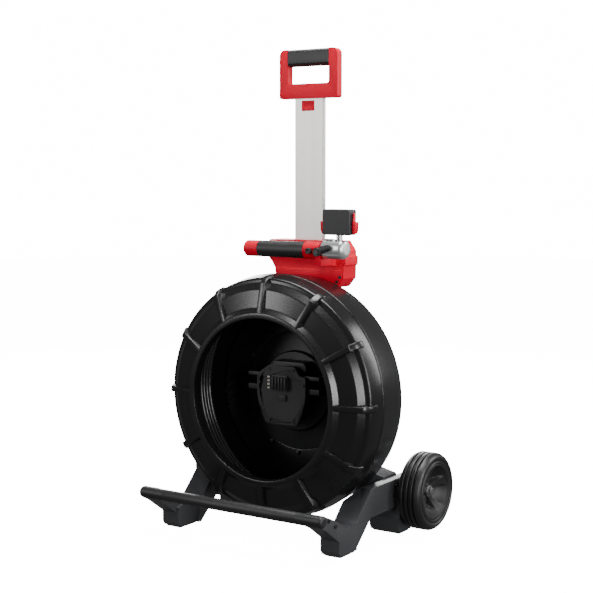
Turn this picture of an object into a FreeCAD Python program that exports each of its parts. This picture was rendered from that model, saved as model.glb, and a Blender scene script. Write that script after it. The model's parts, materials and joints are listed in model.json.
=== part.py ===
import FreeCAD, Part
import math
import os

# Cable reel cart: a big moulded drum that turns on a spindle, a two-wheeled base, a telescoping
# handle and a ball mount.  X is to the right, Y to the back and Z up.  Heights are drawn from the
# lowest point of the wheels, and each piece is lifted as it is written, so that Z = 0 in the
# files is the ground under the feet.

os.makedirs("parts", exist_ok=True)
V = FreeCAD.Vector

# ---------------------------------------------------------------- driving dimensions (mm)
DRUM_Z = 334.0          # height of the drum's axis
OPENING_R = 198.0       # radius of the round opening in the drum's front
DRUM_R = 301.0          # drum radius at the moulding seam
DRUM_FRONT = -119.0     # front lip of the drum
SEAM_Y = -36.0          # where the two drum mouldings meet
DRUM_BACK = 72.0        # rearmost face of the drum
WALL = 4.0              # moulded wall
RIB_COUNT = 12
RIB_W = 11.0
RIB_END_W = 15.5
HUB_R = 151.0           # hub disc that closes the drum's back wall
HUB_BOSS_R = 102.0
HUB_FACE_Y = 40.0
BACK_WALL_Y = 56.0
BOLT_CIRCLE_R = 160.0
BOLT_COUNT = 12
SPINDLE_R = 15.0
BEARING_R = 26.0
RUN = 0.05              # radial clearance of a running fit

DOCK_FACE_Y = -22.0     # face of the dock plate inside the drum
LATCH_X0 = -4.0         # release button in the dock plate
LATCH_X1 = 15.0

CABLE_R_IN = 264.0      # inside of the wound cable
CABLE_R_OUT = 287.6
CABLE_Y0 = -26.0
CABLE_Y1 = 50.0
HEAD_R = 8.0            # fitting on the cable's free end
HEAD_L = 60.0
HEAD_X = 110.0

BEAM_X0 = 235.0         # side beam, inner and outer face
BEAM_X1 = 260.0
ARM_X0 = 210.0
ARM_X1 = 262.0
STRUT_X0 = 199.0
SWING_R = 308.0         # room kept round the turning drum
GROUND_Z = -6.0         # the feet hold the wheels a little off the ground
PAD_T = 4.0             # rubber foot pad

BAR_Y = -240.0
BAR_Z = 97.6
BAR_R = 14.0
BAR_CORE_R = 11.0
BAR_HALF = 267.0
SLEEVE_HALF = 195.0

WHEEL_X = 312.0
WHEEL_Y = 158.0
WHEEL_R = 96.0
WHEEL_Z = 97.0
TYRE_W = 62.0
TYRE_IN_R = 69.0
GROOVE_STEP = 13.0
BOSS_X = 320.5          # outer face of the wheel's boss, well inside the dish
BOSS_R = 16.0
AXLE_R = 8.0
SPOKES = 5

COL_HALF = 43.5         # telescoping column, half width
COL_Y0 = 105.0
COL_Y1 = 117.0
COL_Z0 = 560.0
COL_TOP = 1092.0
COL_WALL = 2.0
MAST_HALF = 48.5
MAST_Y0 = 99.5
MAST_Y1 = 122.5
MAST_Z0 = 150.0
MAST_TOP = 704.0
SLIDE_GAP = 0.5

HANDLE_HALF = 86.5
HANDLE_Y0 = 100.0
HANDLE_Y1 = 122.0
HANDLE_Z0 = 1068.0
HANDLE_Z1 = 1191.0
WINDOW_HALF = 61.0
WINDOW_Z0 = 1105.0
GRIP_Z0 = 1148.0
GRIP_Z1 = 1189.0
GRIP_SKIN = 2.0         # the rubber stands proud of the handle by this much
CORE_SKIN = 6.0         # rubber over the slim core
BUTTON_X0 = -21.2
BUTTON_X1 = 15.2
BUTTON_Z0 = 1038.0
BUTTON_Z1 = 1062.0

HOUSE_Y0 = 81.0         # red housing behind the drum
HOUSE_SPLIT = 108.0
HOUSE_Y1 = 142.0
HOUSE_TOP = 713.0
LIFT_Y = 26.0           # lift grip axis
LIFT_Z = 692.0
LIFT_R = 20.5
LIFT_CAP_X = -137.0      # outer end of the red end cap
LIFT_X0 = -94.0         # rubber sleeve
LIFT_X1 = 45.0
LIFT_CORE_R = 12.0
COLLAR_END = 92.0

SOCKET_Z = 697.0
SOCKET_R = 25.0
SOCKET_X0 = 98.0
SOCKET_X1 = 161.0
POST_X = 140.0
POST_R = 8.0
BALL_R = 15.0
SEAT_R = 17.5
BOX_X0 = 100.0
BOX_X1 = 177.0
BOX_Y0 = 11.0
BOX_Y1 = 43.0
BOX_Z0 = 731.5
BOX_Z1 = 794.0
STEM_Y0 = 22.0          # stems of the box's side latches
STEM_Y1 = 32.0
STEM_Z0 = 746.0
STEM_Z1 = 754.0
KNOB_X = 69.0           # lock knob beside the lever
LEVER_X = 94.0          # clamp lever's pin
LEVER_Z = 690.0
LEVER_PIN_R = 4.0

BALL_CENTRE = V(POST_X, LIFT_Y, SOCKET_Z + 3)
X = V(1, 0, 0)
Y = V(0, 1, 0)
Z = V(0, 0, 1)


# ---------------------------------------------------------------- small makers
def box(x0, x1, y0, y1, z0, z1):
    return Part.makeBox(x1 - x0, y1 - y0, z1 - z0, V(x0, y0, z0))


def rod(r, p, d, length):
    return Part.makeCylinder(r, length, p, d)


def ring(r_in, r_out, p, d, length):
    return rod(r_out, p, d, length).cut(rod(r_in, p - d, d, length + 2))


def prism_yz(points, x0, x1):
    wire = Part.makePolygon([V(x0, y, z) for y, z in points + points[:1]])
    return Part.Face(wire).extrude(V(x1 - x0, 0, 0))


def prism_xz(points, y0, y1):
    wire = Part.makePolygon([V(x, y0, z) for x, z in points + points[:1]])
    return Part.Face(wire).extrude(V(0, y1 - y0, 0))


def turned(profile, x=0.0, z=DRUM_Z):
    """A solid turned about an axis along Y from (radius, y) points."""
    wire = Part.makePolygon([V(x + r, y, z) for r, y in profile + profile[:1]])
    return Part.Face(wire).revolve(V(x, 0, z), Y, 360)


def turned_x(profile, y, z):
    """A solid turned about an axis along X from (radius, x) points."""
    wire = Part.makePolygon([V(x, y, z + r) for r, x in profile + profile[:1]])
    return Part.Face(wire).revolve(V(0, y, z), X, 360)


def fuse(shapes):
    whole = shapes[0].multiFuse(shapes[1:]) if len(shapes) > 1 else shapes[0]
    return whole.removeSplitter()


def round_edges(shape, radius, keep):
    edges = [e for e in shape.Edges if keep(e)]
    if not edges:
        return shape
    rounded = shape.makeFillet(radius, edges)
    return rounded if rounded.isValid() and rounded.Volume > 0 else shape


def along(edge, direction):
    if not isinstance(edge.Curve, Part.Line):
        return False
    return abs(edge.Curve.Direction.dot(direction)) > 0.999


def rounded_box(x0, x1, y0, y1, z0, z1, radius, direction):
    return round_edges(box(x0, x1, y0, y1, z0, z1), radius, lambda e: along(e, direction))


def mirror_x(shape):
    return shape.mirror(V(0, 0, 0), X)


def spun(shape, degrees, x=0.0, z=DRUM_Z):
    copy = shape.copy()
    copy.rotate(V(x, 0, z), Y, degrees)
    return copy


def hex_head(p, d, across, height):
    """A hexagon prism on the point p, standing along the axis d."""
    corner = across / math.sqrt(3)
    wire = [V(corner * math.cos(k * math.pi / 3), corner * math.sin(k * math.pi / 3), 0) for k in range(7)]
    head = Part.Face(Part.makePolygon(wire)).extrude(V(0, 0, height))
    head.Placement = FreeCAD.Placement(p, FreeCAD.Rotation(Z, d))
    return head


def screw(p, d, head_r, head_h, shank_r, shank_l):
    """Head stands on p along d, the shank goes the other way, with a round drive recess."""
    head = rod(head_r, p, d, head_h)
    head = head.cut(rod(head_r * 0.45, p + d * (head_h * 0.5), d, head_h))
    return fuse([head, rod(shank_r, p - d * shank_l, d, shank_l + 0.2)])


def group(shapes):
    return Part.makeCompound(shapes)


def seated(shape, fasteners):
    """The shape with room cut for the fasteners that go into it."""
    for item in fasteners.Solids:
        shape = shape.cut(item)
    return shape


NODES = {}


def write(name, shape):
    placed = shape.copy()
    placed.translate(V(0, 0, -GROUND_Z))
    placed.exportStep("parts/%s.step" % name)
    NODES[name] = placed
    print(name, "solids", len(shape.Solids), "valid", shape.isValid(), round(shape.Volume / 1000, 1))


# ---------------------------------------------------------------- drum
def drum_rib():
    """One raised bar on the front panel, with a thicker block at the outer end."""
    bar = [(212, -117.5), (284, -103), (284, -88), (212, -95.5)]
    wire = Part.makePolygon([V(r, y, DRUM_Z - RIB_W / 2) for r, y in bar + bar[:1]])
    bar = Part.Face(wire).extrude(V(0, 0, RIB_W))
    end = [(280, -101), (285, -98), (298, -81), (301, -64), (297, -55), (281, -80)]
    wire = Part.makePolygon([V(r, y, DRUM_Z - RIB_END_W / 2) for r, y in end + end[:1]])
    end = Part.Face(wire).extrude(V(0, 0, RIB_END_W))
    return fuse([bar, end])


def drum_front():
    """Front moulding: hollow lip round the opening, set-back panel, ribs and the front wall."""
    skin = [(OPENING_R, DRUM_FRONT), (214, DRUM_FRONT), (216, -97), (269, -97), (282, -84),
            (290, -82), (294, -80), (DRUM_R, SEAM_Y), (DRUM_R - WALL, SEAM_Y), (290.3, -77),
            (280, -79.5), (267, -93), (212, -93), (210, -115), (202, -115), (202, -92),
            (OPENING_R, -92)]
    shell = turned(skin)
    rib = drum_rib()
    return fuse([shell] + [spun(rib, k * 360.0 / RIB_COUNT) for k in range(RIB_COUNT)])


def drum_back():
    """Rear moulding: side wall with its draft, a stiffening bulge and the flat back wall."""
    skin = [(DRUM_R, SEAM_Y), (DRUM_R + 0.8, SEAM_Y + 3), (292.5, 68), (289, DRUM_BACK),
            (236, DRUM_BACK), (224, BACK_WALL_Y + WALL), (HUB_R, BACK_WALL_Y + WALL),
            (HUB_R, BACK_WALL_Y), (226, BACK_WALL_Y), (238, DRUM_BACK - WALL),
            (287, DRUM_BACK - WALL), (289, 64), (DRUM_R - WALL, SEAM_Y)]
    return turned(skin)


def hub():
    """Cast hub with the disc in the back wall, the front boss and the bearing seat."""
    skin = [(BEARING_R, HUB_FACE_Y), (HUB_BOSS_R - 3, HUB_FACE_Y), (HUB_BOSS_R, HUB_FACE_Y + 3),
            (HUB_BOSS_R, 53), (HUB_R, 53), (HUB_R, 60), (176, 60), (176, 66), (60, 66), (44, 84),
            (BEARING_R, 84)]
    return turned(skin)


def bolt_circle(radius, count, phase, maker):
    items = []
    for k in range(count):
        turn = math.radians(phase + k * 360.0 / count)
        items.append(maker(radius * math.cos(turn), DRUM_Z + radius * math.sin(turn)))
    return items


def dock_outline(grow=0.0):
    """Shield-shaped outline of the dock plate, right half then left half."""
    right = [(40, 73), (55, 50), (73.5, 48), (73.5, 6), (69, -20), (43, -77)]
    points = [(x + grow, z + grow * (1 if z > 0 else -1)) for x, z in right]
    points += [(-x, z) for x, z in reversed(points)]
    return [(x, z + DRUM_Z) for x, z in points]


def dock_plate():
    """Front cover of the dock, with a recessed field and a rim."""
    plate = prism_xz(dock_outline(), DOCK_FACE_Y, DOCK_FACE_Y + 10)
    plate = plate.cut(prism_xz(dock_outline(-9), DOCK_FACE_Y - 1, DOCK_FACE_Y + 2.5))
    back = prism_xz(dock_outline(-4), DOCK_FACE_Y + 6, DOCK_FACE_Y + 11)
    plate = plate.cut(back).cut(latch_pocket(DOCK_FACE_Y - 1, DOCK_FACE_Y + 11))
    return seated(plate, dock_screws())


def dock_bracket():
    """Spider that carries the dock plate: two bars a side and legs back to the hub disc."""
    y0 = DOCK_FACE_Y + 10
    pieces = [prism_xz(dock_outline(-8), y0, y0 + 8)]
    for side in (1, -1):
        for z, h in ((45, 9), (12, 13)):
            x0, x1 = sorted((side * 50, side * 106))
            pieces.append(box(x0, x1, y0, y0 + 12, DRUM_Z + z - h / 2, DRUM_Z + z + h / 2))
            x0, x1 = sorted((side * 96, side * 106))
            pieces.append(box(x0, x1, y0, HUB_FACE_Y + 13, DRUM_Z + z - h / 2, DRUM_Z + z + h / 2))
        x0, x1 = sorted((side * 20, side * 30))
        pieces.append(box(x0, x1, y0, HUB_FACE_Y, DRUM_Z - 70, DRUM_Z - 58))
    trapezoid = [(-34, 60), (62, 60), (62, 72), (54, 80), (-34, 80)]
    pieces.append(prism_xz([(x, z + DRUM_Z) for x, z in trapezoid], y0 + 8, HUB_FACE_Y))
    body = fuse(pieces).cut(latch_pocket(y0 - 1, y0 + 5))
    return body.cut(hub())


def latch_pocket(y0, y1):
    gap = 0.5
    return box(LATCH_X0 - gap, LATCH_X1 + gap, y0, y1, DRUM_Z - 16 - gap, DRUM_Z - 1 + gap)


def dock_latch():
    """Push button that frees what is docked."""
    return rounded_box(LATCH_X0, LATCH_X1, DOCK_FACE_Y - 3.5, DOCK_FACE_Y + 10.5, DRUM_Z - 16,
                       DRUM_Z - 1, 3, Y)


def terminal_block():
    """Electrical dock: a block with five upright walls."""
    face = DOCK_FACE_Y + 2.5
    block = rounded_box(-24, 20, face - 6, face, DRUM_Z + 8, DRUM_Z + 48, 3, Y)
    walls = []
    for k in range(5):
        x = -20 + k * 9.0
        walls.append(box(x, x + 4.5, face - 15, face - 5, DRUM_Z + 13, DRUM_Z + 44))
    return fuse([block] + walls)


def terminal_contacts():
    face = DOCK_FACE_Y + 2.5
    return group([rounded_box(-41, -33, face - 3, face, DRUM_Z + 12 + k * 9, DRUM_Z + 17 + k * 9, 1.5, Y)
                  for k in range(4)])


def dock_screws():
    places = [(36, 62), (65, 27), (36, -67)]
    places += [(-x, z) for x, z in places]
    face = DOCK_FACE_Y
    return group([screw(V(x, face, DRUM_Z + z), V(0, -1, 0), 4.2, 2.5, 2, 4) for x, z in places])


def cable_anchor():
    """Clamp that holds the fixed end of the cable to the drum's wall, in front of the winding."""
    return rounded_box(0, 30, CABLE_Y0 - 19, CABLE_Y0, DRUM_Z + 264, DRUM_Z + 292, 4, Y)


def cable_head():
    """Fitting on the cable's free end, parked inside the drum's top front corner."""
    body = rod(HEAD_R, V(HEAD_X, CABLE_Y0 - HEAD_R - 1.5, DRUM_Z + 256), -X, HEAD_L)
    return round_edges(body, 3, lambda e: e.BoundBox.XMax < HEAD_X + 1 - HEAD_L)


def make_drum():
    write("drum_front", drum_front())
    write("drum_back", drum_back())
    write("hub", hub())
    heads = bolt_circle(BOLT_CIRCLE_R, BOLT_COUNT, 0,
                        lambda x, z: hex_head(V(x, BACK_WALL_Y, z), V(0, -1, 0), 10, 5))
    write("hub_bolts", group(heads))
    bearings = [ring(SPINDLE_R + RUN, BEARING_R, V(0, y, DRUM_Z), Y, 12) for y in (41, 71)]
    write("drum_bearings", group(bearings))
    write("dock_bracket", dock_bracket())
    write("dock_plate", dock_plate())
    write("terminal_block", terminal_block())
    write("terminal_contacts", terminal_contacts())
    write("dock_latch", dock_latch())
    write("dock_screws", dock_screws())
    coil = ring(CABLE_R_IN, CABLE_R_OUT, V(0, CABLE_Y0, DRUM_Z), Y, CABLE_Y1 - CABLE_Y0)
    write("push_cable", coil)
    write("cable_anchor", cable_anchor())
    write("cable_head", cable_head())


# ---------------------------------------------------------------- spindle and mast
def spindle():
    shaft = rod(SPINDLE_R, V(0, 34, DRUM_Z), Y, 58)
    flange = rod(44, V(0, 90.5, DRUM_Z), Y, 9)
    return fuse([shaft, flange])


def mast():
    """Rectangular tube that carries the spindle and guides the column."""
    tube = rounded_box(-MAST_HALF, MAST_HALF, MAST_Y0, MAST_Y1, MAST_Z0, MAST_TOP, 4, Z)
    inner = box(-COL_HALF - SLIDE_GAP, COL_HALF + SLIDE_GAP, COL_Y0 - SLIDE_GAP,
                COL_Y1 + SLIDE_GAP, MAST_Z0 + 6, MAST_TOP + 1)
    return tube.cut(inner)


def column_bush():
    """Guide collar on top of the mast, flush with the housing's top."""
    outer = rounded_box(-MAST_HALF, MAST_HALF, MAST_Y0, MAST_Y1, MAST_TOP, HOUSE_TOP - 4, 4, Z)
    gap = 0.4
    inner = box(-COL_HALF - gap, COL_HALF + gap, COL_Y0 - gap, COL_Y1 + gap, MAST_TOP - 1,
                HOUSE_TOP + 1)
    return outer.cut(inner)


def make_mast():
    write("spindle", spindle())
    cap = rod(24, V(0, 28, DRUM_Z), Y, 11.2).cut(rod(SPINDLE_R, V(0, 34, DRUM_Z), Y, 10))
    write("spindle_cap", cap)
    bolts = bolt_circle(34, 4, 45, lambda x, z: hex_head(V(x, 90.5, z), V(0, -1, 0), 10, 5))
    write("spindle_bolts", group(bolts))
    write("mast", mast())
    write("column_bush", column_bush())


# ---------------------------------------------------------------- base
def cross_top(x):
    return 131 + 0.24 * (251 - abs(x))


def side_casting():
    """Right half of the base: front foot, bar arm, strut, side beam and rear foot."""
    z0 = GROUND_Z + PAD_T
    foot = prism_yz([(-168, z0 + 10), (-161, z0), (-88, z0), (-86, 57), (-92, 60), (-134, 60),
                     (-168, 48)], ARM_X0, ARM_X1)
    arm = prism_yz([(-236, 112), (-188, 91), (-131, 58), (-100, 56), (-120, 20), (-166, 34),
                    (-224, 74), (-244, 84)], ARM_X0 + 8, ARM_X1)
    strut = prism_yz([(-100, z0), (-90, z0), (-26, 55), (-8, 70), (-8, 130), (-26, 124), (-92, 57)],
                     STRUT_X0, BEAM_X1)
    beam = prism_yz([(-26, 66), (-20, 60), (190, 60), (196, 66), (196, 124), (190, 130), (-20, 130),
                     (-26, 124)], BEAM_X0, BEAM_X1)
    rear = prism_yz([(88, z0 + 12), (94, z0), (150, z0), (157, z0 + 10), (160, 62), (106, 62),
                     (88, 34)], 192, 275)
    whole = fuse([foot, arm, strut, beam, rear])
    whole = whole.cut(rod(SWING_R, V(0, -400, DRUM_Z), Y, 476))
    whole = whole.cut(rod(BAR_R, V(0, BAR_Y, BAR_Z), X, 400))
    whole = whole.cut(rod(AXLE_R, V(150, WHEEL_Y, WHEEL_Z), X, 200))
    return seated(whole, base_screws())


def foot_pads():
    pads = []
    for y0, y1, x0, x1 in ((-158, -91, ARM_X0 + 3, ARM_X1 - 3), (97, 147, 195, 272)):
        pad = rounded_box(x0, x1, y0, y1, GROUND_Z, GROUND_Z + PAD_T, 4, Z)
        pads += [pad, mirror_x(pad)]
    return group(pads)


def cross_member():
    """Rear cross member: two arms that rise to a block under the mast."""
    top = [(-BEAM_X0, cross_top(BEAM_X0)), (-60, cross_top(60)), (60, cross_top(60)),
           (BEAM_X0, cross_top(BEAM_X0))]
    outline = [(BEAM_X0, 64), (180, 70), (60, 104), (-60, 104), (-180, 70), (-BEAM_X0, 64)]
    body = prism_xz(top + outline, 84, 148)
    body = body.cut(box(-MAST_HALF, MAST_HALF, MAST_Y0, MAST_Y1, MAST_Z0, 300))
    recess = [(-200, 132), (-70, 160), (-70, 118), (-190, 82)]
    for side in (1, -1):
        body = body.cut(prism_xz([(side * -x, z) for x, z in recess], 130, 150))
    return body


def base_screws():
    items = []
    for y in (100, 132):
        for z in (88, 112):
            item = screw(V(BEAM_X1, y, z), X, 6, 3, 3, 8)
            items += [item, mirror_x(item)]
    for y in (-214, -186):
        z = 95 if y < -200 else 76
        item = screw(V(ARM_X1, y, z), X, 5, 2.5, 2.5, 8)
        items += [item, mirror_x(item)]
    return group(items)


def bar_end():
    """End sleeve with a rounded nose."""
    tube = rod(BAR_R, V(SLEEVE_HALF, BAR_Y, BAR_Z), X, BAR_HALF - SLEEVE_HALF)
    tube = round_edges(tube, 7, lambda e: abs(e.BoundBox.XMin - BAR_HALF) < 0.01)
    return tube.cut(rod(BAR_CORE_R, V(SLEEVE_HALF - 1, BAR_Y, BAR_Z), X, 62))


def make_base():
    casting = side_casting()
    write("base_right", casting)
    write("base_left", mirror_x(casting))
    write("foot_pads", foot_pads())
    write("cross_member", cross_member())
    write("base_screws", base_screws())
    write("front_bar", rod(BAR_CORE_R, V(-SLEEVE_HALF - 60, BAR_Y, BAR_Z), X, 2 * SLEEVE_HALF + 120))
    write("bar_sleeve", ring(BAR_CORE_R, BAR_R, V(-SLEEVE_HALF, BAR_Y, BAR_Z), X, 2 * SLEEVE_HALF))
    write("bar_end_right", bar_end())
    write("bar_end_left", mirror_x(bar_end()))


# ---------------------------------------------------------------- wheels
def tyre():
    x0 = WHEEL_X - TYRE_W / 2
    x1 = WHEEL_X + TYRE_W / 2
    tread = [(TYRE_IN_R, x0 + 2), (84, x0), (92, x0 + 3), (WHEEL_R, x0 + 8)]
    for k in (-1, 0, 1):
        x = WHEEL_X + k * GROOVE_STEP
        tread += [(WHEEL_R, x - 2), (WHEEL_R - 4, x - 1.5), (WHEEL_R - 4, x + 1.5), (WHEEL_R, x + 2)]
    tread += [(WHEEL_R, x1 - 8), (92, x1 - 3), (84, x1), (TYRE_IN_R, x1 - 2)]
    return turned_x(tread, WHEEL_Y, WHEEL_Z)


def wheel_hub():
    """Dished plastic hub: rim, web set well back, boss and broad spokes."""
    x0 = WHEEL_X - TYRE_W / 2 + 2
    x1 = WHEEL_X + TYRE_W / 2 - 2
    web0 = WHEEL_X - 12
    web1 = WHEEL_X - 5
    skin = [(11, x0 - 12), (18, x0 - 12), (20, web0), (58, web0), (62, x0), (TYRE_IN_R, x0),
            (TYRE_IN_R, x1), (65, x1), (60, x1 - 12), (50, web1), (BOSS_R + 2, web1), (BOSS_R, BOSS_X),
            (11, BOSS_X)]
    body = turned_x(skin, WHEEL_Y, WHEEL_Z)
    spokes = []
    for k in range(SPOKES):
        rise = [(WHEEL_Z + 13, BOSS_X - 3), (WHEEL_Z + 30, BOSS_X - 2), (WHEEL_Z + 63, x1 - 6),
                (WHEEL_Z + 63, web0 + 1), (WHEEL_Z + 13, web0 + 1)]
        spoke = prism_xz([(x, z) for z, x in rise], WHEEL_Y - 6, WHEEL_Y + 6)
        spoke.rotate(V(0, WHEEL_Y, WHEEL_Z), X, k * 360.0 / SPOKES)
        spokes.append(spoke)
    return fuse([body] + spokes)


def wheel_bush():
    x0 = WHEEL_X - TYRE_W / 2 - 10
    return ring(AXLE_R + RUN, 11, V(x0, WHEEL_Y, WHEEL_Z), X, BOSS_X - x0)


def make_wheels():
    for side, turn in (("right", lambda s: s), ("left", mirror_x)):
        write("tyre_" + side, turn(tyre()))
        write("wheel_hub_" + side, turn(wheel_hub()))
        write("wheel_bush_" + side, turn(wheel_bush()))
    x_end = BOSS_X + 10
    write("axle", rod(AXLE_R, V(-x_end, WHEEL_Y, WHEEL_Z), X, 2 * x_end))
    washer = ring(AXLE_R, 14, V(BOSS_X, WHEEL_Y, WHEEL_Z), X, 2)
    spacer = ring(AXLE_R, 15, V(BEAM_X1, WHEEL_Y, WHEEL_Z), X, 8)
    write("axle_washers", group([washer, mirror_x(washer), spacer, mirror_x(spacer)]))
    nut = hex_head(V(BOSS_X + 2, WHEEL_Y, WHEEL_Z), X, 19, 7)
    nut = nut.cut(rod(AXLE_R, V(BOSS_X, WHEEL_Y, WHEEL_Z), X, 20))
    write("axle_nuts", group([nut, mirror_x(nut)]))


# ---------------------------------------------------------------- telescoping handle
def column():
    """Flat aluminium tube with rounded corners and a window for the latch."""
    outer = rounded_box(-COL_HALF, COL_HALF, COL_Y0, COL_Y1, COL_Z0, COL_TOP, 3, Z)
    inner = rounded_box(-COL_HALF + COL_WALL, COL_HALF - COL_WALL, COL_Y0 + COL_WALL,
                        COL_Y1 - COL_WALL, COL_Z0 - 1, COL_TOP + 1, 2, Z)
    window = box(BUTTON_X0 - 0.8, BUTTON_X1 + 0.8, COL_Y0 - 1, COL_Y0 + COL_WALL + 1,
                 BUTTON_Z0 - 0.8, BUTTON_Z1 + 0.8)
    return outer.cut(inner).cut(window)


def latch_button():
    """Push button with a shallow dish for the thumb and a flange that keeps it in the column."""
    front = rounded_box(BUTTON_X0, BUTTON_X1, COL_Y0 - 1.5, COL_Y0 + 4, BUTTON_Z0, BUTTON_Z1, 2.5, Y)
    dish = rounded_box(BUTTON_X0 + 6, BUTTON_X1 - 4, COL_Y0 - 2, COL_Y0, BUTTON_Z0 + 5, BUTTON_Z1 - 4,
                       2, Y)
    flange = box(BUTTON_X0 - 4, BUTTON_X1 + 4, COL_Y0 + 3, COL_Y0 + 5.5, BUTTON_Z0 - 4, BUTTON_Z1 + 4)
    return fuse([front.cut(dish), flange])


def handle_frame():
    """D-handle moulding: window for the hand, a slim core under the rubber and a column socket."""
    outer = box(-HANDLE_HALF, HANDLE_HALF, HANDLE_Y0, HANDLE_Y1, HANDLE_Z0, HANDLE_Z1)
    outer = round_edges(outer, 16, lambda e: along(e, Y) and e.BoundBox.ZMin > HANDLE_Z1 - 1)
    outer = round_edges(outer, 6, lambda e: along(e, Y) and e.BoundBox.ZMax < HANDLE_Z0 + 1)
    window = rounded_box(-WINDOW_HALF, WINDOW_HALF, HANDLE_Y0 - 1, HANDLE_Y1 + 1, WINDOW_Z0,
                         GRIP_Z0 + 3, 5, Y)
    outer = outer.cut(window)
    over = box(-WINDOW_HALF, WINDOW_HALF, HANDLE_Y0 - 1, HANDLE_Y1 + 1, GRIP_Z0, HANDLE_Z1 + 1)
    outer = outer.cut(over)
    outer = fuse([outer, handle_core()])
    outer = outer.cut(box(-COL_HALF, COL_HALF, COL_Y0, COL_Y1, HANDLE_Z0 - 1, COL_TOP))
    return seated(outer, handle_screws())


def handle_core():
    """Slim bar inside the rubber grip."""
    return box(-WINDOW_HALF - 2, WINDOW_HALF + 2, HANDLE_Y0 + CORE_SKIN, HANDLE_Y1 - CORE_SKIN,
               GRIP_Z0 + 8, GRIP_Z1 - 8)


def handle_grip():
    """Rubber sleeve with finger ridges on its underside."""
    y0 = HANDLE_Y0 - GRIP_SKIN
    y1 = HANDLE_Y1 + GRIP_SKIN
    sleeve = box(-WINDOW_HALF, WINDOW_HALF, y0, y1, GRIP_Z0, GRIP_Z1 + GRIP_SKIN)
    sleeve = round_edges(sleeve, 10, lambda e: along(e, X))
    sleeve = sleeve.cut(handle_core())
    for k in range(10):
        x = -49.5 + k * 11.0
        sleeve = sleeve.cut(box(x - 1.6, x + 1.6, y0 - 1, y1 + 1, GRIP_Z0 - 1, GRIP_Z0 + 3))
    return sleeve


def handle_screws():
    places = ((-70, 1086), (70, 1086), (-74, 1160), (74, 1160))
    return group([screw(V(x, HANDLE_Y1, z), Y, 4, 2, 2, 8) for x, z in places])


def make_handle():
    write("column", column())
    plug = rounded_box(-COL_HALF, COL_HALF, COL_Y0, COL_Y1, COL_Z0 - 12, COL_Z0, 3, Z)
    stub = rounded_box(-COL_HALF + COL_WALL, COL_HALF - COL_WALL, COL_Y0 + COL_WALL,
                       COL_Y1 - COL_WALL, COL_Z0, COL_Z0 + 14, 2, Z)
    write("column_plug", fuse([plug, stub]))
    write("latch_button", latch_button())
    write("handle_frame", handle_frame())
    write("handle_grip", handle_grip())
    write("handle_screws", handle_screws())


# ---------------------------------------------------------------- housing and lift grip
def house_outline(inset=0.0):
    """Outline of the housing seen from the front, clockwise from the lower left."""
    i = inset
    return [(-85 + i, 606 + i), (-85 + i, 624), (-88 + i, 640), (-98 + i, 657), (-112 + i, 672),
            (-114 + i, 698), (-104 + i, HOUSE_TOP - i), (100 - i, HOUSE_TOP - i), (118 - i, 688),
            (118 - i, 676), (123 - i, 674), (123 - i, 654), (118 - i, 650), (117 - i, 620),
            (98 - i, 597 + i), (84 - i, 606 + i)]


def column_passage(y0, y1):
    gap = 1.0
    low = box(-MAST_HALF, MAST_HALF, max(y0, MAST_Y0), min(y1, MAST_Y1), 590, HOUSE_TOP - 4)
    top = box(-COL_HALF - gap, COL_HALF + gap, COL_Y0 - gap, COL_Y1 + gap, 700, HOUSE_TOP + 2)
    return low, top


def housing_front():
    """Front cover with the arms and the end cap and collar of the lift grip."""
    cover = prism_xz(house_outline(), HOUSE_Y0, HOUSE_SPLIT)
    cavity = prism_xz(house_outline(WALL), HOUSE_Y0 + WALL, HOUSE_SPLIT + 1)
    cover = cover.cut(cavity)
    band = prism_xz([(-83, 610), (-86, 640), (114, 640), (114, 622), (97, 601)], HOUSE_Y0 - 3,
                    HOUSE_Y0 + 1)
    end_cap = rod(LIFT_R, V(LIFT_CAP_X, LIFT_Y, LIFT_Z), X, LIFT_X0 - LIFT_CAP_X)
    end_cap = round_edges(end_cap, 7, lambda e: e.BoundBox.XMax < LIFT_CAP_X + 1)
    collar = rod(LIFT_R + 1, V(LIFT_X1, LIFT_Y, LIFT_Z), X, COLLAR_END - LIFT_X1)
    left_arm = prism_yz([(LIFT_Y, 674), (HOUSE_Y0 + 2, 668), (HOUSE_Y0 + 2, HOUSE_TOP - 4), (LIFT_Y, 711)],
                        -126, -103)
    left_arm = fuse([left_arm, box(-126, -103, HOUSE_Y0, HOUSE_Y0 + 8, 676, 702)])
    right_arm = prism_yz([(LIFT_Y, 674), (HOUSE_Y0 + 2, 656), (HOUSE_Y0 + 2, HOUSE_TOP - 4),
                          (LIFT_Y, 711)], 74, COLLAR_END)
    foot = prism_yz([(LIFT_Y - 14, 656), (HOUSE_Y0 + 2, 652), (HOUSE_Y0 + 2, 672), (LIFT_Y - 14, 672)],
                    78, 96)
    foot = fuse([foot, box(78, COLLAR_END, LIFT_Y - 14, LIFT_Y + 14, 668, 678)])
    gusset = prism_yz([(LIFT_Y + 8, 680), (HOUSE_Y0 + 2, 652), (HOUSE_Y0 + 2, 680)], 48, 66)
    whole = fuse([cover, band, end_cap, collar, left_arm, right_arm, foot, gusset])
    for part in column_passage(HOUSE_Y0, HOUSE_SPLIT):
        whole = whole.cut(part)
    whole = whole.cut(lift_core())
    whole = whole.cut(rod(5.3, V(KNOB_X, -20, LIFT_Z), Y, 34))
    return seated(whole.cut(lever_pin()), housing_screws())


def housing_rear():
    cover = prism_xz(house_outline(), HOUSE_SPLIT, HOUSE_Y1)
    cavity = prism_xz(house_outline(WALL), HOUSE_SPLIT - 1, HOUSE_Y1 - WALL)
    whole = cover.cut(cavity)
    for part in column_passage(HOUSE_SPLIT, HOUSE_Y1 - WALL):
        whole = whole.cut(part)
    return seated(whole, housing_screws())


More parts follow.
